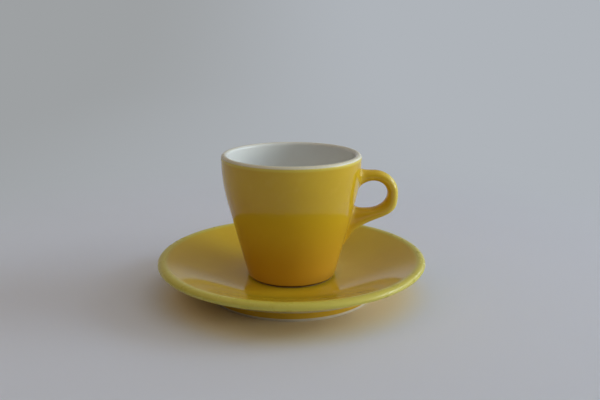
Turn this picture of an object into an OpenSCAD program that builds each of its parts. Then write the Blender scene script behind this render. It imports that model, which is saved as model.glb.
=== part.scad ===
// Espresso cup on its saucer: glazed porcelain, in millimetres.
// The origin is the centre of the saucer's foot, at the table, with +Z up.
// The handle points along +X.

/* [Cup] */
// Height of the cup from its foot to the top of its rim
cup_h = 59.7; // [52:0.1:68]
// Outside diameter at the rim
rim_d = 66.2; // [60:0.2:72]
// Outside diameter at the foot of the wall
foot_d = 42.2; // [36:0.1:46]
// Lean of the straight wall, as a share of the lean of a line from foot to rim
lean_share = 1.28; // [1.1:0.01:1.35]
// Height above the foot at which the straight wall starts to turn upright
bend_h = 35; // [30:1:40]
// Thickness of the lip
lip_t = 3.1; // [2.4:0.1:4]
// Thickness of the straight wall
wall_t = 3.9; // [3.2:0.1:4.8]
// Thickness of the cup's floor
cup_floor_t = 4.2; // [3.2:0.1:6]
// Height over which the inside turns from wall to floor
bowl_h = 12; // [8:0.5:16]

/* [Cup foot] */
// Width of the ring that the cup stands on
cup_ring_w = 2.6; // [1.8:0.1:4]
// How far the ring stands in from the foot of the wall
cup_ring_inset = 0.6; // [0.5:0.1:1.4]
// Height of the bare, unglazed edge of the ring
cup_bare_h = 0.7; // [0.5:0.1:1.2]
// Height of the hollow under the cup's floor
cup_recess_h = 1.8; // [1.4:0.1:2.6]

/* [Handle] */
// Depth of the handle's top below the rim
handle_drop = 8; // [6:0.5:11]
// How far the handle stands out from the rim
handle_reach = 17.8; // [16:0.1:22]
// Thickness of the handle's loop, seen from the side
handle_t = 5.1; // [4:0.1:6]
// Width of the handle's loop
handle_w = 7.6; // [6:0.1:9]
// Height of the finger hole
hole_h = 13.5; // [12:0.5:16]
// Height above the foot at which the tail runs out into the wall
tail_h = 13.5; // [10:0.5:16]
// Extra half width where the handle spreads onto the wall
root_spread = 1.3; // [0.6:0.1:2]
// Distance from the wall over which the handle spreads
root_reach = 4; // [2.5:0.1:6]

/* [Saucer] */
// Outside diameter of the saucer
saucer_d = 129; // [120:1:140]
// Height of the saucer from the table to the top of its lip
saucer_h = 18.2; // [16:0.2:22]
// Height of the flat that the cup stands on
well_h = 8.2; // [7.4:0.1:9.4]
// Diameter of that flat
well_d = 48; // [46:1:54]
// Thickness of the saucer's lip
saucer_lip_t = 3.6; // [2.8:0.1:4.4]
// Width of the lip's rounded top
saucer_lip_w = 4; // [3.4:0.1:6]
// Slope of the dish where it meets the lip, in degrees
dish_slope = 20; // [14:1:24]
// Thickness of the saucer's floor
saucer_floor_t = 4.2; // [3.4:0.1:5]

/* [Saucer foot] */
// Outside diameter of the foot ring
saucer_ring_d = 81; // [72:1:86]
// Width of the foot ring
saucer_ring_w = 3.6; // [2.6:0.1:5]
// Height of the bare, unglazed edge of the foot ring
saucer_bare_h = 1.4; // [0.6:0.1:1.8]

/* [Glaze] */
// Thickness of the glaze
glaze_t = 0.25; // [0.15:0.05:0.4]

/* [Hidden] */
// Running gap between two coats, or a coat and the handle, that meet on a curved face
coat_gap = 0.03;
// Radius of the small edges on the foot rings
edge_r = 0.4;
// Inside fillet of the foot rings
ring_fillet = 1.2;
// Fillet between the saucer's foot ring and its underside
saucer_fillet = 2.4;
// Fillets in which the handle's edges meet the wall: over it, in the hole's top and in the hole's floor
top_fillet = 1.4;
hole_top_fillet = 5.2;
hole_floor_fillet = 2.2;
// Height over which the slope of the wall is taken
slope_step = 0.5;
// Slope of the tail's lower edge, in degrees
tail_slope = 21;
// How far a cutter runs past what it cuts
overrun = 2;

// Shares that place the handle's turning points: its farthest point over the hole's height, the
// lowest point of the hole, and the start of the tail against the handle's thickness
far_share = 0.55;
floor_share = 0.7;
tail_lead_share = 0.9;
tail_drop_share = 1.04;
// Arms of the curves into and out of the tail's start, against the handle's thickness
tail_arm_share = 1.9;
tail_run_share = 2.2;
// Arm of the curve out of the farthest point, and the arm that leads the tail onto the wall
far_arm_share = 0.6;
tail_stand_share = 0.9;
tail_rise_share = 0.5;
// Arm of a curve that turns a quarter circle
quarter_share = 0.5523;
// Arms of the curves of the wall, dish and fillets
wall_arm_share = 0.36;
dish_arm_share = 0.36;
soft_arm_share = 0.5;
// Place of the highest line of the saucer's lip across its rounded top, from outside
crest_share = 0.6;
// Where the white lining ends and the yellow coat starts, as degrees round the lip from outside
colour_break = 20;

// Steps in the long curves, round a lip, in a small fillet and round the edge of a foot ring
curve_steps = 12;
lip_steps = 10;
fillet_steps = 5;
edge_steps = 3;
// Steps along each of the handle's four stretches, and points round it
loop_steps = 9;
loop_sides = 24;
// Squareness of the handle's section, where 2 is an ellipse
section_power = 2.3;
// Sizes of the rings that close an end of the handle
cap_shares = [0.3, 0.65];
$fn = 96;

rim_r = rim_d / 2;
foot_r = foot_d / 2;
lip_r = lip_t / 2;
cup_ring_r = foot_r - cup_ring_inset;
cup_ring_in_r = cup_ring_r - cup_ring_w;
cup_floor_z = cup_recess_h + cup_floor_t;
saucer_r = saucer_d / 2;
well_r = well_d / 2;
saucer_ring_r = saucer_ring_d / 2;
saucer_ring_in_r = saucer_ring_r - saucer_ring_w;
saucer_recess_h = well_h - saucer_floor_t;

// Curves and outlines

function bezier_point(c, t) =
    let (u = 1 - t) pow(u, 3) * c[0] + 3 * t * pow(u, 2) * c[1] + 3 * t * t * u * c[2] + pow(t, 3) * c[3];

// Points of a curve with its first point left out, so that stretches can be chained
function bezier(c, steps) = [for (i = [1:steps]) bezier_point(c, i / steps)];

// Curve that turns a corner from one point to another
function quarter(from, corner, to) =
    [from, from + quarter_share * (corner - from), to + quarter_share * (corner - to), to];

function arc(centre, r, from, to, steps) =
    [for (i = [0:steps]) let (a = from + (to - from) * i / steps) centre + r * [cos(a), sin(a)]];

function unit(v) = v / norm(v);
function left_of(v) = [-v[1], v[0]];
function reversed(list) = [for (i = [len(list) - 1:-1:0]) list[i]];

// Direction of an outline at one of its points
function heading(path, i) =
    unit(path[min(i + 1, len(path) - 1)] - path[max(i - 1, 0)]);

// The outline moved by a distance to its left, which is into the clay
function inset(path, by) =
    [for (i = [0:len(path) - 1])
        let (at = path[i] + by * left_of(heading(path, i))) [path[i][0] == 0 ? 0 : at[0], at[1]]];

// Stretch of an outline between two of its points
function stretch(path, from, to) = [for (i = [from:to]) path[i]];

module coat(path, from, to) {
    clay = inset(path, glaze_t);
    rotate_extrude()
        polygon(concat(stretch(path, from, to), reversed(stretch(clay, from, to))));
}

// Cup outlines: radius and height above the cup's own foot

cone_lean = (rim_r - foot_r) / cup_h * lean_share;
bend_r = foot_r + cone_lean * bend_h;
cone_dir = unit([cone_lean, 1]);
turn_arm = (cup_h - bend_h) * wall_arm_share;

foot_corner_z = cup_bare_h + cup_ring_inset;
foot_corner = quarter([cup_ring_r, cup_bare_h], [foot_r + cone_lean * cup_bare_h, cup_bare_h],
                      [foot_r + cone_lean * foot_corner_z, foot_corner_z]);
outer_turn = [[bend_r, bend_h], [bend_r, bend_h] + turn_arm * cone_dir,
              [rim_r, cup_h - lip_r - turn_arm], [rim_r, cup_h - lip_r]];

inner_rim_r = rim_r - lip_t;
inner_bend_r = bend_r - wall_t / cone_dir[1];
inner_turn = [[inner_rim_r, cup_h - lip_r], [inner_rim_r, cup_h - lip_r - turn_arm],
              [inner_bend_r, bend_h] + turn_arm * cone_dir, [inner_bend_r, bend_h]];
bowl_top_z = cup_floor_z + bowl_h;
bowl_top_r = inner_bend_r - cone_lean * (bend_h - bowl_top_z);
bowl_corner_r = inner_bend_r - cone_lean * (bend_h - cup_floor_z);
bowl_flat_r = bowl_corner_r - bowl_h;
bowl_curve = [[bowl_top_r, bowl_top_z],
              [bowl_top_r, bowl_top_z] - quarter_share * bowl_h * cone_dir / cone_dir[1],
              [bowl_flat_r + (1 - quarter_share) * bowl_h, cup_floor_z], [bowl_flat_r, cup_floor_z]];

outer_wall_path = concat([foot_corner[0]], bezier(foot_corner, fillet_steps),
                         [outer_turn[0]], bezier(outer_turn, curve_steps));
lip_path = arc([rim_r - lip_r, cup_h - lip_r], lip_r, 0, 180, lip_steps);
cup_path = concat(outer_wall_path, stretch(lip_path, 1, lip_steps), bezier(inner_turn, curve_steps),
                  [bowl_curve[0]], bezier(bowl_curve, curve_steps), [[0, cup_floor_z]]);
break_point = len(outer_wall_path) - 1 + round(lip_steps * colour_break / 180);

function ring_path(hollow_z, r, bare) = concat(
    [[0, hollow_z], [r - ring_fillet, hollow_z]],
    bezier(quarter([r - ring_fillet, hollow_z], [r, hollow_z], [r, hollow_z - ring_fillet]), fillet_steps),
    bare < hollow_z - ring_fillet ? [[r, bare]] : []);

// Bottom of a foot ring, from its inside edge to its outside edge
function ring_foot(in_r, out_r) = concat(
    arc([in_r + edge_r, edge_r], edge_r, 180, 270, edge_steps),
    arc([out_r - edge_r, edge_r], edge_r, 270, 360, edge_steps));

cup_base_path = ring_path(cup_recess_h, cup_ring_in_r, cup_recess_h - ring_fillet);

// Outside radius of the wall at a height above the cup's foot, for the glazed face and for the clay
glazed_table = [for (p = outer_wall_path) [p[1], p[0]]];
clay_table = [for (p = stretch(inset(cup_path, glaze_t), 0, len(outer_wall_path) - 1)) [p[1], p[0]]];
function glazed_r(z) = lookup(z, glazed_table);
function clay_r(z) = lookup(z, clay_table);

// Handle: two edges in the plane of the loop, in four stretches each

handle_top_z = cup_h - handle_drop;
hole_top_z = handle_top_z - handle_t;
hole_floor_z = hole_top_z - hole_h;
far_z = hole_floor_z + far_share * hole_h;
far_x = rim_r + handle_reach;
hole_far_x = far_x - handle_t;
crest_x = hole_far_x - hole_h / 2;
hole_floor_x = hole_far_x - floor_share * hole_h;
tail_dir = [cos(tail_slope), sin(tail_slope)];
tail_start = [hole_floor_x + tail_lead_share * handle_t, hole_floor_z - tail_drop_share * handle_t];
tail_arm = tail_arm_share * handle_t;
tail_run = tail_run_share * handle_t;

function on_wall(z) = [glazed_r(z), z];
function up_wall(z) = unit(on_wall(z + slope_step) - on_wall(z - slope_step));
outer_root = on_wall(handle_top_z + top_fillet);
outer_crest = [crest_x, handle_top_z];
outer_far = [far_x, far_z];
tail_end = on_wall(tail_h);
outer_edge = [
    [outer_root, [outer_root[0], handle_top_z],
     outer_crest - [(crest_x - outer_root[0]) * soft_arm_share, 0], outer_crest],
    quarter(outer_crest, [far_x, handle_top_z], outer_far),
    [outer_far, outer_far - [0, (far_z - tail_start[1]) * far_arm_share],
     tail_start + tail_arm * tail_dir, tail_start],
    [tail_start, tail_start - tail_run * tail_dir,
     tail_end + [tail_stand_share * handle_t, (tail_start[1] - tail_h) * tail_rise_share], tail_end]];

inner_root = on_wall(hole_top_z - hole_top_fillet);
inner_crest = [crest_x, hole_top_z];
inner_far = [hole_far_x, far_z];
inner_floor = [hole_floor_x, hole_floor_z];
inner_end = on_wall(hole_floor_z + hole_floor_fillet);
inner_edge = [
    [inner_root, inner_root + hole_top_fillet * soft_arm_share * up_wall(inner_root[1]),
     inner_crest - [(crest_x - inner_root[0]) * soft_arm_share, 0], inner_crest],
    quarter(inner_crest, [hole_far_x, hole_top_z], inner_far),
    quarter(inner_far, [hole_far_x, hole_floor_z], inner_floor),
    [inner_floor, inner_floor - [(hole_floor_x - inner_end[0]) * soft_arm_share, 0],
     [inner_end[0], hole_floor_z], inner_end]];

function edge_points(edge) = concat([edge[0][0]], [for (c = edge) each bezier(c, loop_steps)]);
outer_points = edge_points(outer_edge);
inner_points = edge_points(inner_edge);
stations = len(outer_points) - 1;

// Half of the handle's width at a distance from the wall
function half_width(from_wall) =
    handle_w / 2 + root_spread * pow(max(0, 1 - max(0, from_wall) / root_reach), 2);

function power(v) = sign(v) * pow(abs(v), 2 / section_power);

// One ring of points round the handle, in [x, y, z], with the glaze taken off if thinner is its thickness
function loop_ring(i, thinner) =
    let (out = outer_points[i], in = inner_points[i], middle = (out + in) / 2,
         half = (out - in) / 2, across = half - thinner * unit(half),
         wide = half_width(middle[0] - glazed_r(middle[1])) - thinner)
    [for (k = [0:loop_sides - 1])
        let (a = 360 * k / loop_sides, p = middle + power(cos(a)) * across)
        [p[0], power(sin(a)) * wide, p[1]]];

// The same points carried along X onto the wall, where r is the wall's radius at each height
function carried(p, r) = [sqrt(pow(r + coat_gap, 2) - pow(p[1], 2)), p[1], p[2]];
function onto_glaze(ring) = [for (p = ring) carried(p, glazed_r(p[2]))];
function onto_clay(ring) = [for (p = ring) carried(p, clay_r(p[2]))];

function middle_of(ring) = (ring[0] + ring[loop_sides / 2]) / 2;
function shrunk(ring, share) = let (m = middle_of(ring)) [for (p = ring) m + share * (p - m)];

// All rings of a loop between its two roots on the glazed wall
function loop_rings(thinner) = concat(
    [onto_glaze(loop_ring(0, thinner))],
    [for (i = [1:stations - 1]) loop_ring(i, thinner)],
    [onto_glaze(loop_ring(stations, thinner))]);

// Rings that run from the middle of a root out to its edge, on the clay
function root_rings(ring) = concat([for (s = cap_shares) onto_clay(shrunk(ring, s))], [onto_clay(ring)]);

// Faces of the band between two rings, whose points start at a and at b
function quads(a, b) = [for (k = [0:loop_sides - 1]) let (n = (k + 1) % loop_sides)
    each [[a + k, b + k, b + n], [a + k, b + n, a + n]]];
// The same band of faces, split along the other diagonal
function crossed_quads(a, b) = [for (k = [0:loop_sides - 1]) let (n = (k + 1) % loop_sides)
    each [[a + k, b + k, a + n], [b + k, b + n, a + n]]];
function fan(tip, a, turned) = [for (k = [0:loop_sides - 1]) let (n = (k + 1) % loop_sides)
    turned ? [tip, a + k, a + n] : [tip, a + n, a + k]];
function flat_list(rings) = [for (r = rings) each r];

// A solid skinned over rings and closed with a point at each end
module skinned(rings, first_tip, last_tip) {
    count = len(rings);
    first = count * loop_sides;
    polyhedron(
        points = concat(flat_list(rings), [first_tip, last_tip]),
        faces = concat(
            fan(first, 0, false),
            [for (i = [0:count - 2]) each quads((i + 1) * loop_sides, i * loop_sides)],
            fan(first + 1, (count - 1) * loop_sides, true)));
}

// A tube skinned over the rings of its outside and of its bore, which run the same way
module skinned_tube(outside, bore) {
    rings = concat(outside, reversed(bore));
    count = len(rings);
    polyhedron(
        points = flat_list(rings),
        faces = [for (i = [0:count - 1]) let (a = ((i + 1) % count) * loop_sides, b = i * loop_sides)
            each (i < len(outside) ? quads(a, b) : crossed_quads(a, b))]);
}

// Outline of a root in the plane across the handle, with the gap round it, turned into a cutter along X
module root_cutter(ring) {
    m = middle_of(ring);
    rotate([90, 0, 90])
        linear_extrude(rim_r + overrun)
            polygon([for (p = ring) let (d = [p[1], p[2] - m[2]]) [m[1], m[2]] + d + coat_gap * unit(d)]);
}

// Parts of the cup

module cup_body() {
    clay = inset(cup_path, glaze_t);
    base = inset(cup_base_path, glaze_t);
    color("gainsboro")
        translate([0, 0, well_h])
            rotate_extrude()
                polygon(concat(base, ring_foot(cup_ring_in_r + glaze_t, cup_ring_r), clay));
}

module cup_outer_glaze() {
    color("gold")
        translate([0, 0, well_h])
            difference() {
                coat(cup_path, 0, break_point);
                root_cutter(loop_ring(0, glaze_t));
                root_cutter(loop_ring(stations, glaze_t));
            }
}

module cup_inner_glaze() {
    color("white")
        translate([0, 0, well_h])
            coat(cup_path, break_point, len(cup_path) - 1);
}

module cup_base_glaze() {
    color("gold")
        translate([0, 0, well_h])
            coat(cup_base_path, 0, len(cup_base_path) - 1);
}

module cup_handle() {
    core = loop_rings(glaze_t);
    start = root_rings(core[0]);
    end = root_rings(core[stations]);
    color("gainsboro")
        translate([0, 0, well_h])
            skinned(concat(start, core, reversed(end)), middle_of(start[0]), middle_of(end[0]));
}

module handle_glaze() {
    color("gold")
        translate([0, 0, well_h])
            skinned_tube(loop_rings(0), loop_rings(glaze_t));
}

// Saucer outlines: radius and height above the table

dish_dir = [cos(dish_slope), sin(dish_slope)];
lip_nose = [saucer_r, saucer_h - saucer_lip_t / 2];
lip_crest = [saucer_r - crest_share * saucer_lip_w, saucer_h];
roll_half = (saucer_lip_w - (saucer_r - lip_crest[0])) / 2;
dish_edge = [lip_crest[0] - 2 * roll_half, saucer_h - roll_half * tan(dish_slope)];
under_edge = [saucer_r - saucer_lip_t / 2, saucer_h - saucer_lip_t];
lip_corner = [saucer_r, under_edge[1] + saucer_lip_t / 2 * tan(dish_slope)];
dish_arm = (dish_edge[0] - well_r) * dish_arm_share;
dish_curve = [dish_edge, dish_edge - dish_arm * dish_dir, [well_r + dish_arm, well_h], [well_r, well_h]];

// The underside leaves the foot ring a little above the floor's lower face
ring_top_z = saucer_recess_h + ring_fillet;
under_start = [saucer_ring_r + saucer_fillet, ring_top_z + saucer_fillet * tan(dish_slope / 2)];
under_start_dir = [cos(dish_slope / 2), sin(dish_slope / 2)];
ring_corner = quarter([saucer_ring_r, ring_top_z - saucer_fillet], [saucer_ring_r, ring_top_z], under_start);
under_arm = (under_edge[0] - under_start[0]) * dish_arm_share;
under_curve = [under_start, under_start + under_arm * under_start_dir,
               under_edge - under_arm * dish_dir, under_edge];

saucer_path = concat(
    [[saucer_ring_r, saucer_bare_h], ring_corner[0]], bezier(ring_corner, fillet_steps),
    bezier(under_curve, curve_steps),
    bezier(quarter(under_edge, lip_corner, lip_nose), lip_steps / 2),
    bezier(quarter(lip_nose, [saucer_r, saucer_h], lip_crest), lip_steps / 2),
    bezier(quarter(lip_crest, [lip_crest[0] - roll_half, saucer_h], dish_edge), fillet_steps - 1),
    bezier(dish_curve, 2 * curve_steps), [[0, well_h]]);
saucer_base_path = ring_path(saucer_recess_h, saucer_ring_in_r, saucer_bare_h);

module saucer_body() {
    clay = inset(saucer_path, glaze_t);
    base = inset(saucer_base_path, glaze_t);
    color("gainsboro")
        rotate_extrude()
            polygon(concat(base, ring_foot(saucer_ring_in_r + glaze_t, saucer_ring_r - glaze_t), clay));
}

module saucer_glaze() {
    color("gold")
        coat(saucer_path, 0, len(saucer_path) - 1);
}

module saucer_base_glaze() {
    color("gold")
        coat(saucer_base_path, 0, len(saucer_base_path) - 1);
}

cup_body();
cup_handle();
cup_outer_glaze();
cup_inner_glaze();
cup_base_glaze();
handle_glaze();
saucer_body();
saucer_glaze();
saucer_base_glaze();
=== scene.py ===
import math

import bmesh
import bpy
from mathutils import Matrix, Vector


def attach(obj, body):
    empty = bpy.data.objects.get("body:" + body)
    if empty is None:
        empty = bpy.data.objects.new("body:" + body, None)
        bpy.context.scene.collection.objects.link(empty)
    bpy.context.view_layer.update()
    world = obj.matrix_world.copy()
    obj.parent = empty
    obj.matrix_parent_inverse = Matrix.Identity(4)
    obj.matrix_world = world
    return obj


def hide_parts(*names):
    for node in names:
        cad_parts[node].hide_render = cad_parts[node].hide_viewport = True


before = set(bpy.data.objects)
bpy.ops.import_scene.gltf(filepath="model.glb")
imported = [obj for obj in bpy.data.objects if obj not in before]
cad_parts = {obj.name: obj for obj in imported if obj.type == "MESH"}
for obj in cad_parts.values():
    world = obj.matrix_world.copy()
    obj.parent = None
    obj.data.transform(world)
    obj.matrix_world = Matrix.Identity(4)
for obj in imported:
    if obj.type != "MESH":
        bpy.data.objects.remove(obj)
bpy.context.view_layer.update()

# Everything is built in metres, from sizes in millimetres
MM = 0.001

# Sizes of the CAD model, in millimetres

# Cup: height, radius at the rim and at the foot of the wall, and the lean of its straight wall as a
# share of the lean of a line from foot to rim
CUP_H = 59.7
RIM_R = 33.1
FOOT_R = 21.1
LEAN_SHARE = 1.28
# Height at which the straight wall starts to turn upright, and that over which the inside turns to the
# floor
BEND_H = 35.0
BOWL_H = 12.0
LIP_T = 3.1
WALL_T = 3.9
CUP_FLOOR_T = 4.2
# Foot ring: width, how far it stands in, height of its bare edge, and height of the hollow inside it
CUP_RING_W = 2.6
CUP_RING_INSET = 0.6
CUP_BARE_H = 0.7
CUP_RECESS_H = 1.8

# Handle: depth of its top below the rim, reach from the rim, thickness, width, height of the finger
# hole, and height at which its tail runs out into the wall
HANDLE_DROP = 8.0
HANDLE_REACH = 17.8
HANDLE_T = 5.1
HANDLE_W = 7.6
HOLE_H = 13.5
TAIL_H = 13.5
# Slope of the tail's lower edge, in degrees
TAIL_SLOPE = 21
# Fillets in which its edges meet the wall: over it, in the hole's top and in the hole's floor
TOP_FILLET = 1.4
HOLE_TOP_FILLET = 5.2
HOLE_FLOOR_FILLET = 2.2
# Height over which the slope of the wall is taken
SLOPE_STEP = 0.5
# How much wider it grows on each side at the wall, and from how far off
ROOT_SPREAD = 2.0
ROOT_REACH = 3.6
# How deep its ends sink into the coat, and from how far off it bends to follow the round wall
ROOT_SINK = 0.06
ROOT_CARRY = 9

# Saucer: radius, height, height and radius of its flat, lip, slope of the dish in degrees, and floor
SAUCER_R = 64.5
SAUCER_H = 18.2
WELL_H = 8.2
WELL_R = 24.0
SAUCER_LIP_T = 3.6
SAUCER_LIP_W = 4.0
DISH_SLOPE = 20.0
SAUCER_FLOOR_T = 4.2
# Foot ring: radius, width and height of its bare edge
SAUCER_RING_R = 40.5
SAUCER_RING_W = 3.6
SAUCER_BARE_H = 1.4

# Glaze, small edges of the foot rings, their inside fillet, and the fillet outside the saucer's ring
GLAZE_T = 0.25
EDGE_R = 0.4
RING_FILLET = 1.2
SAUCER_FILLET = 2.4

# Shares that place the handle's turning points and the arms of its curves, as in the CAD source
FAR_SHARE = 0.55
FLOOR_SHARE = 0.7
TAIL_LEAD_SHARE = 0.9
TAIL_DROP_SHARE = 1.04
TAIL_ARM_SHARE = 1.9
TAIL_RUN_SHARE = 2.2
FAR_ARM_SHARE = 0.6
TAIL_STAND_SHARE = 0.9
TAIL_RISE_SHARE = 0.5
SOFT_ARM_SHARE = 0.5
QUARTER_SHARE = 0.5523
WALL_ARM_SHARE = 0.36
DISH_ARM_SHARE = 0.36
CREST_SHARE = 0.6
# Where the white lining ends and the yellow coat starts, as degrees round the lip from outside
COLOUR_BREAK = 20.0
# Squareness of the handle's section, where 2 is an ellipse
SECTION_POWER = 2.3

# Steps along the curves
CURVE_STEPS = 60
UNDER_STEPS = 36
LIP_STEPS = 72
NOSE_STEPS = 16
ROLL_STEPS = 24
CORNER_STEPS = 14
FILLET_STEPS = 12
EDGE_STEPS = 8
LATHE_SIDES = 256
LOOP_STEPS = 32
LOOP_SIDES = 64
BACKDROP_STEPS = 24
# Distances in millimetres below which two points of an outline are one, and a point lies on the axis
SAME_POINT = 1e-5
ON_AXIS = 1e-9
# Edges of a mesh that turn by more degrees than this stay sharp
SHARP = 50
HANDLE_SHARP = 60


# Curves, in (radius, height)

def v(x, z):
    return Vector((x, z))


def bezier(c, steps):
    """Points of a curve with its first point left out, so that stretches can be chained."""
    out = []
    for i in range(1, steps + 1):
        t = i / steps
        u = 1 - t
        out.append(c[0] * u ** 3 + c[1] * (3 * t * u * u) + c[2] * (3 * t * t * u) + c[3] * t ** 3)
    return out


def quarter(a, corner, b):
    return [a, a + (corner - a) * QUARTER_SHARE, b + (corner - b) * QUARTER_SHARE, b]


def arc(centre, r, start, end, steps):
    out = []
    for i in range(steps + 1):
        a = math.radians(start + (end - start) * i / steps)
        out.append(centre + v(math.cos(a), math.sin(a)) * r)
    return out


def inset(path, by):
    """The outline moved to its left, into the clay."""
    out = []
    for i, p in enumerate(path):
        d = (path[min(i + 1, len(path) - 1)] - path[max(i - 1, 0)]).normalized()
        q = p + v(-d.y, d.x) * by
        out.append(v(0 if abs(p.x) < ON_AXIS else q.x, q.y))
    return out


def without_doubles(path):
    out = [path[0]]
    for p in path[1:]:
        if (p - out[-1]).length > SAME_POINT:
            out.append(p)
    return out


def ring_hollow(z, r, bare):
    """Outline of the hollow inside a foot ring, from its middle down to the bare edge."""
    path = [v(0, z), v(r - RING_FILLET, z)]
    path += bezier(quarter(v(r - RING_FILLET, z), v(r, z), v(r, z - RING_FILLET)), FILLET_STEPS)
    return path + ([v(r, bare)] if bare < z - RING_FILLET else [])


def ring_foot(inside, outside):
    """Bottom of a foot ring, from its inside edge to its outside edge."""
    return (arc(v(inside + EDGE_R, EDGE_R), EDGE_R, 180, 270, EDGE_STEPS)
            + arc(v(outside - EDGE_R, EDGE_R), EDGE_R, 270, 360, EDGE_STEPS))


# Cup outline, from the corner over the foot ring, up the outside, over the lip and down to the floor
lean = (RIM_R - FOOT_R) / CUP_H * LEAN_SHARE
lip_r = LIP_T / 2
cup_ring_r = FOOT_R - CUP_RING_INSET
cup_ring_in = cup_ring_r - CUP_RING_W
cup_floor_z = CUP_RECESS_H + CUP_FLOOR_T
bend_r = FOOT_R + lean * BEND_H
cone = v(lean, 1).normalized()
turn_arm = (CUP_H - BEND_H) * WALL_ARM_SHARE
corner_z = CUP_BARE_H + CUP_RING_INSET
corner = quarter(v(cup_ring_r, CUP_BARE_H), v(FOOT_R + lean * CUP_BARE_H, CUP_BARE_H),
                 v(FOOT_R + lean * corner_z, corner_z))
outer_turn = [v(bend_r, BEND_H), v(bend_r, BEND_H) + cone * turn_arm,
              v(RIM_R, CUP_H - lip_r - turn_arm), v(RIM_R, CUP_H - lip_r)]
inner_rim = RIM_R - LIP_T
inner_bend = bend_r - WALL_T / cone.y
inner_turn = [v(inner_rim, CUP_H - lip_r), v(inner_rim, CUP_H - lip_r - turn_arm),
              v(inner_bend, BEND_H) + cone * turn_arm, v(inner_bend, BEND_H)]
bowl_top_z = cup_floor_z + BOWL_H
bowl_top_r = inner_bend - lean * (BEND_H - bowl_top_z)
bowl_flat = inner_bend - lean * (BEND_H - cup_floor_z) - BOWL_H
bowl = [v(bowl_top_r, bowl_top_z),
        v(bowl_top_r, bowl_top_z) - cone * (QUARTER_SHARE * BOWL_H / cone.y),
        v(bowl_flat + (1 - QUARTER_SHARE) * BOWL_H, cup_floor_z), v(bowl_flat, cup_floor_z)]
wall_out = without_doubles([corner[0]] + bezier(corner, CORNER_STEPS)
                           + [outer_turn[0]] + bezier(outer_turn, CURVE_STEPS))
lip = arc(v(RIM_R - lip_r, CUP_H - lip_r), lip_r, 0, 180, LIP_STEPS)
cup_path = without_doubles(wall_out + lip[1:] + bezier(inner_turn, CURVE_STEPS)
                           + [bowl[0]] + bezier(bowl, CURVE_STEPS) + [v(0, cup_floor_z)])
break_at = len(wall_out) - 1 + round(LIP_STEPS * COLOUR_BREAK / 180)
cup_hollow = ring_hollow(CUP_RECESS_H, cup_ring_in, CUP_RECESS_H - RING_FILLET)

# Saucer outline, from the foot ring's glaze line, out under the dish, over the lip and in to the centre
slope = math.radians(DISH_SLOPE)
dish_dir = v(math.cos(slope), math.sin(slope))
nose = v(SAUCER_R, SAUCER_H - SAUCER_LIP_T / 2)
crest = v(SAUCER_R - CREST_SHARE * SAUCER_LIP_W, SAUCER_H)
roll = (SAUCER_LIP_W - (SAUCER_R - crest.x)) / 2
dish_edge = v(crest.x - 2 * roll, SAUCER_H - roll * math.tan(slope))
under_edge = v(SAUCER_R - SAUCER_LIP_T / 2, SAUCER_H - SAUCER_LIP_T)
lip_corner = v(SAUCER_R, under_edge.y + SAUCER_LIP_T / 2 * math.tan(slope))
dish_arm = (dish_edge.x - WELL_R) * DISH_ARM_SHARE
dish = [dish_edge, dish_edge - dish_dir * dish_arm, v(WELL_R + dish_arm, WELL_H), v(WELL_R, WELL_H)]
saucer_recess_h = WELL_H - SAUCER_FLOOR_T
ring_top = saucer_recess_h + RING_FILLET
start_dir = v(math.cos(slope / 2), math.sin(slope / 2))
under_start = v(SAUCER_RING_R + SAUCER_FILLET, ring_top + SAUCER_FILLET * math.tan(slope / 2))
under_arm = (under_edge.x - under_start.x) * DISH_ARM_SHARE
under = [under_start, under_start + start_dir * under_arm, under_edge - dish_dir * under_arm, under_edge]
ring_corner = quarter(v(SAUCER_RING_R, ring_top - SAUCER_FILLET), v(SAUCER_RING_R, ring_top), under_start)
saucer_path = without_doubles(
    [v(SAUCER_RING_R, SAUCER_BARE_H), ring_corner[0]]
    + bezier(ring_corner, CORNER_STEPS)
    + bezier(under, UNDER_STEPS)
    + bezier(quarter(under_edge, lip_corner, nose), NOSE_STEPS)
    + bezier(quarter(nose, v(SAUCER_R, SAUCER_H), crest), ROLL_STEPS)
    + bezier(quarter(crest, v(crest.x - roll, SAUCER_H), dish_edge), CORNER_STEPS)
    + bezier(dish, CURVE_STEPS) + [v(0, WELL_H)])
saucer_hollow = ring_hollow(saucer_recess_h, SAUCER_RING_R - SAUCER_RING_W, SAUCER_BARE_H)


# Where the glaze is thin or thick, as shares from 0 to 1 at a point of an outline

# Most that it thins on the cup's lip, the saucer's lip and the handle's back
CUP_THIN = 0.85
SAUCER_THIN = 0.92
HANDLE_THIN = 0.95
# Depths below the rim between which the wall and the lining start to thin
WALL_THIN = (2.8, 1.4)
LINING_THIN = (1.6, 0.6)
# How far in from the rim the lining is thin all over, as a share of the lip's thickness
LIP_THIN_SHARE = 0.3
# Distances in and out from the dish's edge, and depths below the lip's top, over which the saucer thins
SAUCER_THIN_IN = 1.6
SAUCER_THIN_OUT = 0.9
SAUCER_THIN_DEPTHS = (4.2, 3.0)
# Depth of the thick glaze's line below the lip's nose, and the height over which it starts
THICK_DROP = 1.4
THICK_FADE = 1.0
# Shares of the loop's length between which the handle's back starts to thin, and stops
HANDLE_THIN_FROM = (0.26, 0.42)
HANDLE_THIN_TO = (0.8, 0.97)


def step(x, low, high):
    """0 below low, 1 above high, smooth between."""
    t = min(1.0, max(0.0, (x - low) / (high - low)))
    return t * t * (3 - 2 * t)


def thin_on_wall(p):
    return CUP_THIN * step(p.y, CUP_H - WALL_THIN[0], CUP_H - WALL_THIN[1])


def thin_on_lip(p):
    return (CUP_THIN * step(p.x, RIM_R - LIP_T, RIM_R - LIP_THIN_SHARE * LIP_T)
            * step(p.y, CUP_H - LINING_THIN[0], CUP_H - LINING_THIN[1]))


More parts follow.
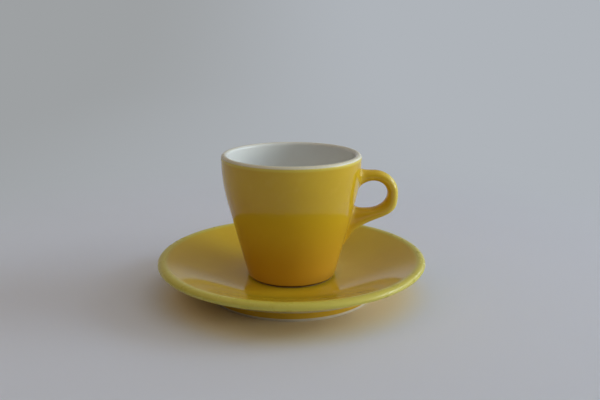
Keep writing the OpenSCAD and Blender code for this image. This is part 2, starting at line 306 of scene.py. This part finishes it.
def thin_on_saucer(p):
    return (SAUCER_THIN * step(p.x, dish_edge.x - SAUCER_THIN_IN, dish_edge.x + SAUCER_THIN_OUT)
            * step(p.y, SAUCER_H - SAUCER_THIN_DEPTHS[0], SAUCER_H - SAUCER_THIN_DEPTHS[1]))


def thick_under_saucer(p):
    """The underside, below a slanting line through the middle of the clay."""
    line = nose.y - THICK_DROP - (SAUCER_R - p.x) * math.tan(slope)
    return step(line - p.y, 0.0, THICK_FADE)


# Meshes

def finish_mesh(name, bm, material, sharp=SHARP):
    """Makes an object of a bmesh."""
    bmesh.ops.recalc_face_normals(bm, faces=bm.faces)
    mesh = bpy.data.meshes.new(name)
    bm.to_mesh(mesh)
    bm.free()
    for p in mesh.polygons:
        p.use_smooth = True
    mesh.set_sharp_from_angle(angle=math.radians(sharp))
    mesh.materials.append(material)
    obj = bpy.data.objects.new(name, mesh)
    bpy.context.scene.collection.objects.link(obj)
    return obj


def lathe(name, outline, lift, material, thin=None, thick=None):
    """A closed outline of (radius, height) turned about the Z axis. thin(p) and thick(p) say, from 0 to 1,
    how thin or how thick the glaze lies there."""
    bm = bmesh.new()
    layers = [(bm.verts.layers.float.new("thin"), thin), (bm.verts.layers.float.new("thick"), thick)]
    rings = []
    for p in outline:
        z = (p.y + lift) * MM
        if p.x < ON_AXIS:
            rings.append([bm.verts.new((0, 0, z))])
            continue
        rings.append([bm.verts.new((p.x * MM * math.cos(2 * math.pi * k / LATHE_SIDES),
                                    p.x * MM * math.sin(2 * math.pi * k / LATHE_SIDES), z))
                      for k in range(LATHE_SIDES)])
        for layer, share in layers:
            for vertex in rings[-1]:
                vertex[layer] = share(p) if share else 0.0
    for a, b in zip(rings, rings[1:] + rings[:1]):
        if len(a) == 1 and len(b) == 1:
            continue
        for k in range(LATHE_SIDES):
            n = (k + 1) % LATHE_SIDES
            if len(a) == 1:
                bm.faces.new((a[0], b[k], b[n]))
            elif len(b) == 1:
                bm.faces.new((a[k], b[0], a[n]))
            else:
                bm.faces.new((a[k], b[k], b[n], a[n]))
    return finish_mesh(name, bm, material)


def coat(name, path, lift, material, thin=None, thick=None):
    """A layer of glaze with its face on this path."""
    return lathe(name, path + inset(path, GLAZE_T)[::-1], lift, material, thin, thick)


# Handle

def wall_r(z):
    """Outside radius of the wall at a height above the cup's foot."""
    for a, b in zip(wall_out, wall_out[1:]):
        if z <= b.y:
            share = 0 if b.y == a.y else max(0.0, (z - a.y) / (b.y - a.y))
            return a.x + share * (b.x - a.x)
    return wall_out[-1].x


def on_wall(z):
    return v(wall_r(z), z)


def handle_edges():
    """The handle's outer and inner edge in the plane of its loop, in four stretches each."""
    top = CUP_H - HANDLE_DROP
    hole_top = top - HANDLE_T
    hole_floor = hole_top - HOLE_H
    far_z = hole_floor + FAR_SHARE * HOLE_H
    far_x = RIM_R + HANDLE_REACH
    hole_far = far_x - HANDLE_T
    crest_x = hole_far - HOLE_H / 2
    floor_x = hole_far - FLOOR_SHARE * HOLE_H
    a = math.radians(TAIL_SLOPE)
    tail_dir = v(math.cos(a), math.sin(a))
    tail = v(floor_x + TAIL_LEAD_SHARE * HANDLE_T, hole_floor - TAIL_DROP_SHARE * HANDLE_T)
    root = on_wall(top + TOP_FILLET)
    far = v(far_x, far_z)
    end = on_wall(TAIL_H)
    outer = [
        [root, v(root.x, top), v(crest_x - (crest_x - root.x) * SOFT_ARM_SHARE, top), v(crest_x, top)],
        quarter(v(crest_x, top), v(far_x, top), far),
        [far, far - v(0, (far_z - tail.y) * FAR_ARM_SHARE),
         tail + tail_dir * TAIL_ARM_SHARE * HANDLE_T, tail],
        [tail, tail - tail_dir * TAIL_RUN_SHARE * HANDLE_T,
         end + v(TAIL_STAND_SHARE * HANDLE_T, (tail.y - TAIL_H) * TAIL_RISE_SHARE), end]]
    in_root = on_wall(hole_top - HOLE_TOP_FILLET)
    up = (on_wall(in_root.y + SLOPE_STEP) - on_wall(in_root.y - SLOPE_STEP)).normalized()
    in_far = v(hole_far, far_z)
    floor = v(floor_x, hole_floor)
    in_end = on_wall(hole_floor + HOLE_FLOOR_FILLET)
    inner = [
        [in_root, in_root + up * (HOLE_TOP_FILLET * SOFT_ARM_SHARE),
         v(crest_x - (crest_x - in_root.x) * SOFT_ARM_SHARE, hole_top), v(crest_x, hole_top)],
        quarter(v(crest_x, hole_top), v(hole_far, hole_top), in_far),
        quarter(in_far, v(hole_far, hole_floor), floor),
        [floor, floor - v((floor_x - in_end.x) * SOFT_ARM_SHARE, 0), v(in_end.x, hole_floor), in_end]]
    edges = []
    for side in (outer, inner):
        points = [side[0][0]]
        for c in side:
            points += bezier(c, LOOP_STEPS)
        edges.append(points)
    return edges


def squared(a):
    """A sine or cosine pushed out towards the corners of the handle's section."""
    return math.copysign(abs(a) ** (2 / SECTION_POWER), a)


def build_handle(name, material):
    """The loop, skinned over rings that spread and bend onto the round wall at both ends."""
    out, inn = handle_edges()
    count = len(out)
    turns = [2 * math.pi * k / LOOP_SIDES for k in range(LOOP_SIDES)]
    rings = []
    for i in range(count):
        mid = (out[i] + inn[i]) / 2
        half = (out[i] - inn[i]) / 2
        off = max(0.0, mid.x - wall_r(mid.y))
        flare = 0.0
        if off < ROOT_REACH:
            flare = ROOT_SPREAD * (1 - math.sqrt(1 - (1 - off / ROOT_REACH) ** 2))
        wide = HANDLE_W / 2 + flare
        ring = []
        for a in turns:
            p = mid + half * squared(math.cos(a))
            ring.append([p.x, squared(math.sin(a)) * wide, p.y])
        rings.append((off, ring))

    def lifts(ring):
        return [math.sqrt(max(0.0, wall_r(p[2]) ** 2 - p[1] ** 2)) - ROOT_SINK - p[0] for p in ring]

    first, last = lifts(rings[0][1]), lifts(rings[-1][1])
    for i, (off, ring) in enumerate(rings):
        share = max(0.0, 1 - off / ROOT_CARRY) ** 2
        lift = first if i < count / 2 else last
        for k, p in enumerate(ring):
            p[0] += lift[k] * share
    bm = bmesh.new()
    layer = bm.verts.layers.float.new("thin")
    made = [[bm.verts.new((x * MM, y * MM, (z + WELL_H) * MM)) for x, y, z in ring] for off, ring in rings]
    for i, ring in enumerate(made):
        share = i / (count - 1)
        worn = HANDLE_THIN * step(share, *HANDLE_THIN_FROM) * (1 - step(share, *HANDLE_THIN_TO))
        for a, vertex in zip(turns, ring):
            vertex[layer] = worn * max(0.0, math.cos(a))
    for a, b in zip(made, made[1:]):
        for k in range(LOOP_SIDES):
            n = (k + 1) % LOOP_SIDES
            bm.faces.new((a[k], a[n], b[n], b[k]))
    for ring in (made[0], made[-1]):
        bm.faces.new(ring)
    return finish_mesh(name, bm, material, HANDLE_SHARP)


# Colours, as red, green and blue from 0 to 255

def srgb(r, g, b):
    """The same colour in linear light, with its alpha."""
    def one(c):
        c /= 255
        return c / 12.92 if c <= 0.04045 else ((c + 0.055) / 1.055) ** 2.4
    return one(r), one(g), one(b), 1.0


# Of each glaze its plain colour, that where it pools and that where it runs thin
CUP_YELLOW = srgb(217, 182, 37), srgb(214, 175, 33), srgb(225, 191, 56)
DISH_YELLOW = srgb(212, 182, 41), srgb(208, 172, 33), srgb(219, 188, 52)
WHITE = srgb(230, 234, 233), srgb(225, 229, 227), srgb(235, 238, 237)
# The cup's wall towards its foot, more orange as painted bounce light from the yellow saucer, the thick
# glaze under the saucer, and the dark brown line at the cup's foot
YELLOW_PAINTED_BOUNCE = srgb(209, 160, 46)
AMBER = srgb(214, 174, 46)
FOOT_BROWN = srgb(100, 62, 20)
# The glazes where an edge wears them thin, and the yellow as it runs out into the white
LEMON = srgb(209, 201, 90)
LEMON_RIM = srgb(232, 217, 96)
IVORY = srgb(228, 223, 196)
RUN_OUT = srgb(226, 210, 130)
# Unglazed porcelain, its darker patches and its specks
CLAY = srgb(224, 218, 204)
CLAY_DEEP = srgb(208, 199, 181)
CLAY_SPECK = srgb(150, 132, 106)
# The paper and its second tone, painted warm bounce light on the paper under and just round the saucer, and
# the dark room in front of it
PAPER = srgb(226, 232, 246)
PAPER_DEEP = srgb(222, 229, 243)
PAPER_PAINTED_BOUNCE = srgb(238, 231, 206)
DARK_ROOM = srgb(8, 8, 8)
# The seamless background on the left, on the right and high up in reflections, and above the paper
BACKGROUND_LEFT = srgb(158, 161, 163)
BACKGROUND_RIGHT = srgb(175, 180, 186)
BACKGROUND_HIGH = srgb(144, 143, 141)
BACKGROUND_SKY = srgb(171, 176, 183)


# Materials

class Nodes:
    """A material and short ways to add nodes to it."""

    def __init__(self, name):
        self.material = bpy.data.materials.new(name)
        self.material.use_nodes = True
        self.tree = self.material.node_tree
        self.shader = self.tree.nodes["Principled BSDF"]
        self.place = self.tree.nodes.new("ShaderNodeTexCoord").outputs["Object"]

    def add(self, kind, **values):
        node = self.tree.nodes.new(kind)
        for key, value in values.items():
            setattr(node, key, value)
        return node

    def link(self, a, b):
        self.tree.links.new(a, b)

    def noise(self, scale, detail):
        n = self.add("ShaderNodeTexNoise")
        n.inputs["Scale"].default_value = scale
        n.inputs["Detail"].default_value = detail
        self.link(self.place, n.inputs["Vector"])
        return n.outputs["Fac"]

    def ramp(self, value, low, high, to_low, to_high, kind="LINEAR"):
        """The value carried from low..high to to_low..to_high, and held at those ends."""
        n = self.add("ShaderNodeMapRange", interpolation_type=kind)
        for key, x in (("From Min", low), ("From Max", high), ("To Min", to_low), ("To Max", to_high)):
            n.inputs[key].default_value = x
        self.link(value, n.inputs["Value"])
        return n.outputs["Result"]

    def rise(self, value, low, high, top=1.0):
        """Softly up from 0 at low to top at high."""
        return self.ramp(value, low, high, 0.0, top, "SMOOTHSTEP")

    def fall(self, value, low, high):
        """Softly down from 1 at low to 0 at high."""
        return self.ramp(value, low, high, 1.0, 0.0, "SMOOTHSTEP")

    def mix(self, share, a, b):
        """From a to b by a share. Each is a colour or a socket."""
        n = self.add("ShaderNodeMix", data_type="RGBA")
        self.link(share, n.inputs["Factor"])
        for key, x in (("A", a), ("B", b)):
            socket = [s for s in n.inputs if s.name == key and s.type == "RGBA"][0]
            if isinstance(x, tuple):
                socket.default_value = x
            else:
                self.link(x, socket)
        return [s for s in n.outputs if s.type == "RGBA"][0]

    def math(self, op, a, b=0.0):
        """A sum on two numbers or sockets."""
        n = self.add("ShaderNodeMath", operation=op)
        for i, x in enumerate((a, b)):
            if isinstance(x, float):
                n.inputs[i].default_value = x
            else:
                self.link(x, n.inputs[i])
        return n.outputs[0]

    def share_of(self, layer):
        """A share that the mesh carries at its points."""
        return self.add("ShaderNodeAttribute", attribute_name=layer).outputs["Fac"]

    def axes(self):
        n = self.add("ShaderNodeSeparateXYZ")
        self.link(self.place, n.inputs[0])
        return n.outputs

    def radius(self):
        xyz = self.axes()
        x2 = self.math("MULTIPLY", xyz["X"], xyz["X"])
        y2 = self.math("MULTIPLY", xyz["Y"], xyz["Y"])
        return self.math("SQRT", self.math("ADD", x2, y2))

    def tint_above(self, tone, band):
        """Another colour above a band of heights, which is (low z, high z, colour), in millimetres."""
        low, high, tint = band
        return self.mix(self.rise(self.axes()["Z"], low * MM, high * MM), tone, tint)

    def tint_below(self, tone, band):
        """Another colour below a band of heights."""
        low, high, tint = band
        return self.mix(self.fall(self.axes()["Z"], low * MM, high * MM), tone, tint)

    def bump(self, layers):
        """Bump nodes in a chain: each layer is (height socket, strength, depth in metres)."""
        last = None
        for value, strength, depth in layers:
            n = self.add("ShaderNodeBump")
            n.inputs["Strength"].default_value = strength
            n.inputs["Distance"].default_value = depth
            self.link(value, n.inputs["Height"])
            if last:
                self.link(last, n.inputs["Normal"])
            last = n.outputs["Normal"]
        self.link(last, self.shader.inputs["Normal"])


# Each noise is (scale in waves per metre, detail)
POOL_NOISE = (38, 3)
SPOT_NOISE = (150, 2)
GLOSS_NOISE = (90, 4)
RIPPLE_NOISE = (45, 1)
PINHOLE_NOISE = (420, 2)
CLAY_NOISE = (120, 4)
SPECK_NOISE = (900, 2)
CLAY_GLOSS_NOISE = (600, 3)
GRAIN_NOISE = (1500, 3)
PAPER_NOISE = (3, 3)
PAPER_GLOSS_NOISE = (40, 3)
# Values of a noise between which an effect sets in. The last span takes in nearly all of a noise
POOL_SPAN = (0.35, 0.7)
SPOT_SPAN = (0.55, 0.8)
SPECK_SPAN = (0.62, 0.75)
WHOLE_SPAN = (0.3, 0.7)
# Most that pools, thin spots and specks change a colour
POOL_MOST = 0.55
SPOT_MOST = 0.35
SPECK_MOST = 0.35
# Roughness at the ends of the noise, and what a worn edge adds
GLAZE_ROUGHNESS = (0.05, 0.11)
CLAY_ROUGHNESS = (0.5, 0.75)
PAPER_ROUGHNESS = (0.7, 0.85)
EDGE_ROUGHNESS = 0.22
# Each bump is (strength, depth in metres)
RIPPLE = (0.09, 0.35 * MM)
PINHOLES = (0.03, 0.06 * MM)
GRAIN = (0.35, 0.08 * MM)
GLAZE_IOR = 1.48
# Level of the shine of clay and paper, which are matt
MATT_SHINE = 0.2


def glaze(name, colours, thin_to, low=None, edge=None, foot=None):
    """A glossy glaze: its colour pools a little darker and thins a little paler, and its face is not quite
    even. low, edge and foot are bands of heights with a colour: below low the coat turns more orange as
    painted bounce light, above edge it runs out, and below foot it turns dark brown."""
    plain, deep, pale = colours
    m = Nodes(name)
    pool = m.rise(m.noise(*POOL_NOISE), *POOL_SPAN)
    tone = m.mix(m.math("MULTIPLY", pool, POOL_MOST), plain, deep)
    tone = m.mix(m.rise(m.noise(*SPOT_NOISE), *SPOT_SPAN, SPOT_MOST), tone, pale)
    # Painted bounce light: the cup's wall turns more orange towards its foot
    if low:
        tone = m.tint_below(tone, low)
    tone = m.mix(m.share_of("thick"), tone, AMBER)
    worn = m.share_of("thin")
    tone = m.mix(worn, tone, thin_to)
    if edge:
        tone = m.tint_above(tone, edge)
    if foot:
        tone = m.tint_below(tone, foot)
    m.link(tone, m.shader.inputs["Base Color"])
    gloss = m.ramp(m.noise(*GLOSS_NOISE), *WHOLE_SPAN, *GLAZE_ROUGHNESS)
    rough = m.math("ADD", gloss, m.math("MULTIPLY", worn, EDGE_ROUGHNESS))
    m.link(rough, m.shader.inputs["Roughness"])
    m.shader.inputs["IOR"].default_value = GLAZE_IOR
    m.bump([(m.noise(*RIPPLE_NOISE), *RIPPLE), (m.noise(*PINHOLE_NOISE), *PINHOLES)])
    return m.material


def bare_clay(name, brown_band=None):
    """Matt, unglazed porcelain. Its last argument is a band of heights with a colour: above it the clay
    turns dark brown next to the glaze."""
    m = Nodes(name)
    speck = m.ramp(m.noise(*SPECK_NOISE), *SPECK_SPAN, 0.0, SPECK_MOST)
    tone = m.mix(m.ramp(m.noise(*CLAY_NOISE), *WHOLE_SPAN, 0.0, 1.0), CLAY, CLAY_DEEP)
    tone = m.mix(speck, tone, CLAY_SPECK)
    if brown_band:
        tone = m.tint_above(tone, brown_band)
    m.link(tone, m.shader.inputs["Base Color"])
    rough = m.ramp(m.noise(*CLAY_GLOSS_NOISE), *WHOLE_SPAN, *CLAY_ROUGHNESS)
    m.link(rough, m.shader.inputs["Roughness"])
    m.shader.inputs["Specular IOR Level"].default_value = MATT_SHINE
    m.bump([(m.noise(*GRAIN_NOISE), *GRAIN)])
    return m.material


# Heights in millimetres over which a colour changes: that of the wall, more orange towards its foot as
# painted bounce light, from the table; the yellow as it runs out, from the colour break; the coat's dark
# brown foot, from its lower edge; and the dark brown clay, from the cup's foot
PAINTED_BOUNCE_SPAN = (8.0, 58.0)
RUN_OUT_SPAN = (-0.45, 0.05)
FOOT_SPAN = (0.2, 0.9)
CLAY_SPAN = (0.15, 0.4)


def band(base, span, colour):
    """A band of heights above a base, with its colour."""
    return base + span[0], base + span[1], colour


break_z = WELL_H + CUP_H - lip_r + lip_r * math.sin(math.radians(COLOUR_BREAK))
painted_bounce_band = band(0, PAINTED_BOUNCE_SPAN, YELLOW_PAINTED_BOUNCE)
edge_band = band(break_z, RUN_OUT_SPAN, RUN_OUT)
foot_band = band(WELL_H + CUP_BARE_H, FOOT_SPAN, FOOT_BROWN)
clay_band = band(WELL_H, CLAY_SPAN, FOOT_BROWN)

wall_glaze = glaze("yellow_wall_glaze", CUP_YELLOW, LEMON_RIM, painted_bounce_band, edge_band, foot_band)
dish_glaze = glaze("yellow_dish_glaze", DISH_YELLOW, LEMON)
white_glaze = glaze("white_glaze", WHITE, IVORY)
saucer_clay = bare_clay("saucer_bare_clay")
cup_clay = bare_clay("cup_bare_clay", clay_band)


# Pieces: each with its body, its material slot and the CAD nodes that it stands for

cup_outline = without_doubles(
    inset(cup_hollow, GLAZE_T) + ring_foot(cup_ring_in + GLAZE_T, cup_ring_r) + inset(cup_path, GLAZE_T))
saucer_outline = without_doubles(
    inset(saucer_hollow, GLAZE_T)
    + ring_foot(SAUCER_RING_R - SAUCER_RING_W + GLAZE_T, SAUCER_RING_R - GLAZE_T)
    + inset(saucer_path, GLAZE_T))
pieces = [
    (coat("cup_yellow_coat", cup_path[:break_at + 1], WELL_H, wall_glaze, thin_on_wall),
     "cup", "yellow_glaze", ["cup_outer_glaze"]),
    (coat("cup_white_coat", cup_path[break_at:], WELL_H, white_glaze, thin_on_lip),
     "cup", "white_glaze", ["cup_inner_glaze"]),
    (coat("cup_base_coat", cup_hollow, WELL_H, dish_glaze),
     "cup", "yellow_glaze", ["cup_base_glaze"]),
    (lathe("cup_clay", cup_outline, WELL_H, cup_clay),
     "cup", "porcelain", ["cup_body"]),
    (build_handle("handle_coat", wall_glaze),
     "cup", "yellow_glaze", ["handle_glaze", "cup_handle"]),
    (coat("saucer_coat", saucer_path, 0, dish_glaze, thin_on_saucer, thick_under_saucer),
     "saucer", "yellow_glaze", ["saucer_glaze"]),
    (coat("saucer_base_coat", saucer_hollow, 0, dish_glaze),
     "saucer", "yellow_glaze", ["saucer_base_glaze"]),
    (lathe("saucer_clay", saucer_outline, 0, saucer_clay),
     "saucer", "porcelain", ["saucer_body"]),
]
for obj, body, slot, nodes in pieces:
    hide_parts(*nodes)
    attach(obj, body)


# Floor, in metres

# Where the dark front part of the paper ends, going back
FRONT_SPAN = (-0.42, -0.36)
# Distances from the middle over which the painted warm bounce light ends, and the paper turns into the
# background
PAPER_BOUNCE_SPAN = (0.048, 0.070)
AWAY_SPAN = (0.12, 0.34)
# Where the background goes from its left tone to its right one, and its heights in reflections
ACROSS_SPAN = (-0.4, 0.2)
HIGH_SPAN = (0.19, 0.6)
# The sheet's ends in front and behind, its height, half its width, and the radius of its sweep
BACKDROP_NEAR = -2.6
BACKDROP_FAR = 1.8
BACKDROP_TOP = 1.8
BACKDROP_SIDE = 2.6
BACKDROP_BEND = 0.9


def paper():
    """Near the object the paper is a lit, pale sheet that takes the shadow, and under and just round the
    saucer it carries painted warm bounce light from the yellow glaze; farther off, what looks at it sees
    the even tone of a seamless background. Its front part, behind the photographer, is as dark as a room to
    the light, and only the camera sees it pale."""
    m = Nodes("paper")
    xyz = m.axes()
    front = m.fall(xyz["Y"], *FRONT_SPAN)
    tone = m.mix(m.noise(*PAPER_NOISE), PAPER, PAPER_DEEP)
    # Painted bounce light: the paper turns warm under and just round the saucer, as if lit by the yellow
    # glaze
    tone = m.mix(m.fall(m.radius(), *PAPER_BOUNCE_SPAN), tone, PAPER_PAINTED_BOUNCE)
    m.link(m.mix(front, tone, DARK_ROOM), m.shader.inputs["Base Color"])
    rough = m.ramp(m.noise(*PAPER_GLOSS_NOISE), *WHOLE_SPAN, *PAPER_ROUGHNESS)
    m.link(rough, m.shader.inputs["Roughness"])
    m.shader.inputs["Specular IOR Level"].default_value = MATT_SHINE
    across = m.mix(m.rise(xyz["X"], *ACROSS_SPAN), BACKGROUND_LEFT, BACKGROUND_RIGHT)
    path = m.add("ShaderNodeLightPath").outputs
    mirrored = m.math("MAXIMUM", path["Is Glossy Ray"], path["Is Transmission Ray"])
    mirrored = m.math("MULTIPLY", mirrored, m.math("SUBTRACT", 1.0, front))
    high = m.math("MULTIPLY", m.rise(xyz["Z"], *HIGH_SPAN), mirrored)
    plain = m.add("ShaderNodeEmission")
    m.link(m.mix(high, across, BACKGROUND_HIGH), plain.inputs["Color"])
    seen = m.math("MAXIMUM", path["Is Camera Ray"], mirrored)
    away = m.rise(m.radius(), *AWAY_SPAN)
    blend = m.add("ShaderNodeMixShader")
    m.link(m.math("MULTIPLY", seen, away), blend.inputs[0])
    m.link(m.shader.outputs[0], blend.inputs[1])
    m.link(plain.outputs[0], blend.inputs[2])
    m.link(blend.outputs[0], m.tree.nodes["Material Output"].inputs["Surface"])
    return m.material


def backdrop():
    """A sheet that lies under the object and sweeps up into a wall behind it."""
    bend_start = BACKDROP_FAR - BACKDROP_BEND
    line = [(BACKDROP_NEAR, 0.0), (bend_start, 0.0)]
    for i in range(1, BACKDROP_STEPS + 1):
        a = math.pi / 2 * i / BACKDROP_STEPS
        line.append((bend_start + BACKDROP_BEND * math.sin(a), BACKDROP_BEND - BACKDROP_BEND * math.cos(a)))
    line.append((BACKDROP_FAR, BACKDROP_TOP))
    bm = bmesh.new()
    rows = [[bm.verts.new((x, y, z)) for x in (-BACKDROP_SIDE, BACKDROP_SIDE)] for y, z in line]
    for a, b in zip(rows, rows[1:]):
        bm.faces.new((a[0], a[1], b[1], b[0]))
    return finish_mesh("backdrop", bm, paper())


backdrop()


# Light

# Each lamp's name, its place as degrees round from the handle's side, degrees up from the floor and
# distance in metres, its size in metres, its power in watts and its colour
LAMPS = [
    ("window_low", (-8, 8.5, 2.0), (1.25, 0.5), 7.4, (1.06, 1.08, 0.98)),
    ("window_high", (5, 26, 1.9), (1.7, 0.6), 6.15, (0.89, 1.07, 1.29)),
    ("window_back", (45, 20, 1.9), (0.8, 0.5), 1.4, (0.95, 1.0, 1.05)),
    ("window_front", (-42, 12, 1.9), (0.9, 0.5), 1.1, (1.0, 0.93, 0.82)),
    ("warm_left", (200, 50, 1.3), (1.1, 0.9), 0.8, (1.0, 0.56, 0.22)),
]
LAMP_TARGET = (0, 0, 0.03)
# Distance in from a lamp's edge, as a share of its size, at which it is at full strength, and that strength
LAMP_FADE = 0.42
LAMP_FULL = 1.9

# Each patch of the room's light: its direction, the cosines of the angles from it at which it ends and
# is full, and its colour
GLOWS = [
    ((0, 0, 1), 0.1, 1.0, (0.395, 0.350, 0.290)),
    ((1, 0, 0.15), 0.2, 1.0, (0.49, 0.53, 0.56)),
]


def around(azimuth, elevation, distance):
    """A place seen from the cup in this direction."""
    a, e = math.radians(azimuth), math.radians(elevation)
    return (distance * math.cos(a) * math.cos(e),
            distance * math.sin(a) * math.cos(e),
            distance * math.sin(e))


def softbox(name, place, size, power, colour):
    """A large lamp whose light fades towards its edges, like a window with a blind."""
    data = bpy.data.lights.new(name, "AREA")
    data.shape = "RECTANGLE"
    data.size, data.size_y = size
    data.energy = power
    data.color = colour
    data.use_nodes = True
    tree = data.node_tree
    geometry = tree.nodes.new("ShaderNodeNewGeometry")
    split = tree.nodes.new("ShaderNodeSeparateXYZ")
    tree.links.new(geometry.outputs["Parametric"], split.inputs[0])
    both = tree.nodes.new("ShaderNodeMath")
    both.operation = "MULTIPLY"
    # Across the lamp, pingpong goes from 0 at one edge to a half in the middle and back to 0
    for i, axis in enumerate("XY"):
        inward = tree.nodes.new("ShaderNodeMath")
        inward.operation = "PINGPONG"
        inward.inputs[1].default_value = 0.5
        tree.links.new(split.outputs[axis], inward.inputs[0])
        fade = tree.nodes.new("ShaderNodeMapRange")
        fade.interpolation_type = "SMOOTHSTEP"
        fade.inputs["From Max"].default_value = LAMP_FADE
        fade.inputs["To Max"].default_value = LAMP_FULL
        tree.links.new(inward.outputs[0], fade.inputs["Value"])
        tree.links.new(fade.outputs["Result"], both.inputs[i])
    tree.links.new(both.outputs[0], tree.nodes["Emission"].inputs["Strength"])
    lamp = bpy.data.objects.new(name, data)
    lamp.location = place
    lamp.rotation_euler = (Vector(LAMP_TARGET) - Vector(place)).to_track_quat("-Z", "Y").to_euler()
    bpy.context.scene.collection.objects.link(lamp)


for name, place, size, power, colour in LAMPS:
    softbox(name, around(*place), size, power, colour)

scene = bpy.context.scene
world = bpy.data.worlds.new("studio")
scene.world = world
world.use_nodes = True
sky = world.node_tree
background = sky.nodes["Background"]
sky_place = sky.nodes.new("ShaderNodeTexCoord").outputs["Generated"]


def glow(direction, low, high, colour):
    """A soft patch of the room's light around one direction."""
    towards = sky.nodes.new("ShaderNodeVectorMath")
    towards.operation = "DOT_PRODUCT"
    towards.inputs[1].default_value = direction
    sky.links.new(sky_place, towards.inputs[0])
    level = sky.nodes.new("ShaderNodeMapRange")
    level.interpolation_type = "SMOOTHSTEP"
    level.inputs["From Min"].default_value = low
    level.inputs["From Max"].default_value = high
    sky.links.new(towards.outputs["Value"], level.inputs["Value"])
    tint = sky.nodes.new("ShaderNodeVectorMath")
    tint.operation = "SCALE"
    tint.inputs[0].default_value = colour
    sky.links.new(level.outputs["Result"], tint.inputs["Scale"])
    return tint.outputs["Vector"]


# The glows add up to the room's light, and the camera sees a plain tone in its place
room = sky.nodes.new("ShaderNodeVectorMath")
for i, patch in enumerate(GLOWS):
    sky.links.new(glow(*patch), room.inputs[i])
sky.links.new(room.outputs["Vector"], background.inputs["Color"])
plain_sky = sky.nodes.new("ShaderNodeBackground")
plain_sky.inputs["Color"].default_value = BACKGROUND_SKY
seen_sky = sky.nodes.new("ShaderNodeMixShader")
sky.links.new(sky.nodes.new("ShaderNodeLightPath").outputs["Is Camera Ray"], seen_sky.inputs[0])
sky.links.new(background.outputs[0], seen_sky.inputs[1])
sky.links.new(plain_sky.outputs[0], seen_sky.inputs[2])
sky.links.new(seen_sky.outputs[0], sky.nodes["World Output"].inputs["Surface"])


# Camera: its place in millimetres, its tilt down in degrees, and its lens and sensor in millimetres

CAMERA_PLACE = (4.07, -325.3, 128.2)
CAMERA_DOWN = 14.33
LENS = 42
SENSOR_W = 36

camera_data = bpy.data.cameras.new("camera")
camera_data.lens = LENS
camera_data.sensor_width = SENSOR_W
camera = bpy.data.objects.new("camera", camera_data)
camera.location = [x * MM for x in CAMERA_PLACE]
camera.rotation_euler = (math.radians(90 - CAMERA_DOWN), 0, 0)
scene.collection.objects.link(camera)
scene.camera = camera

scene.view_settings.view_transform = "Standard"
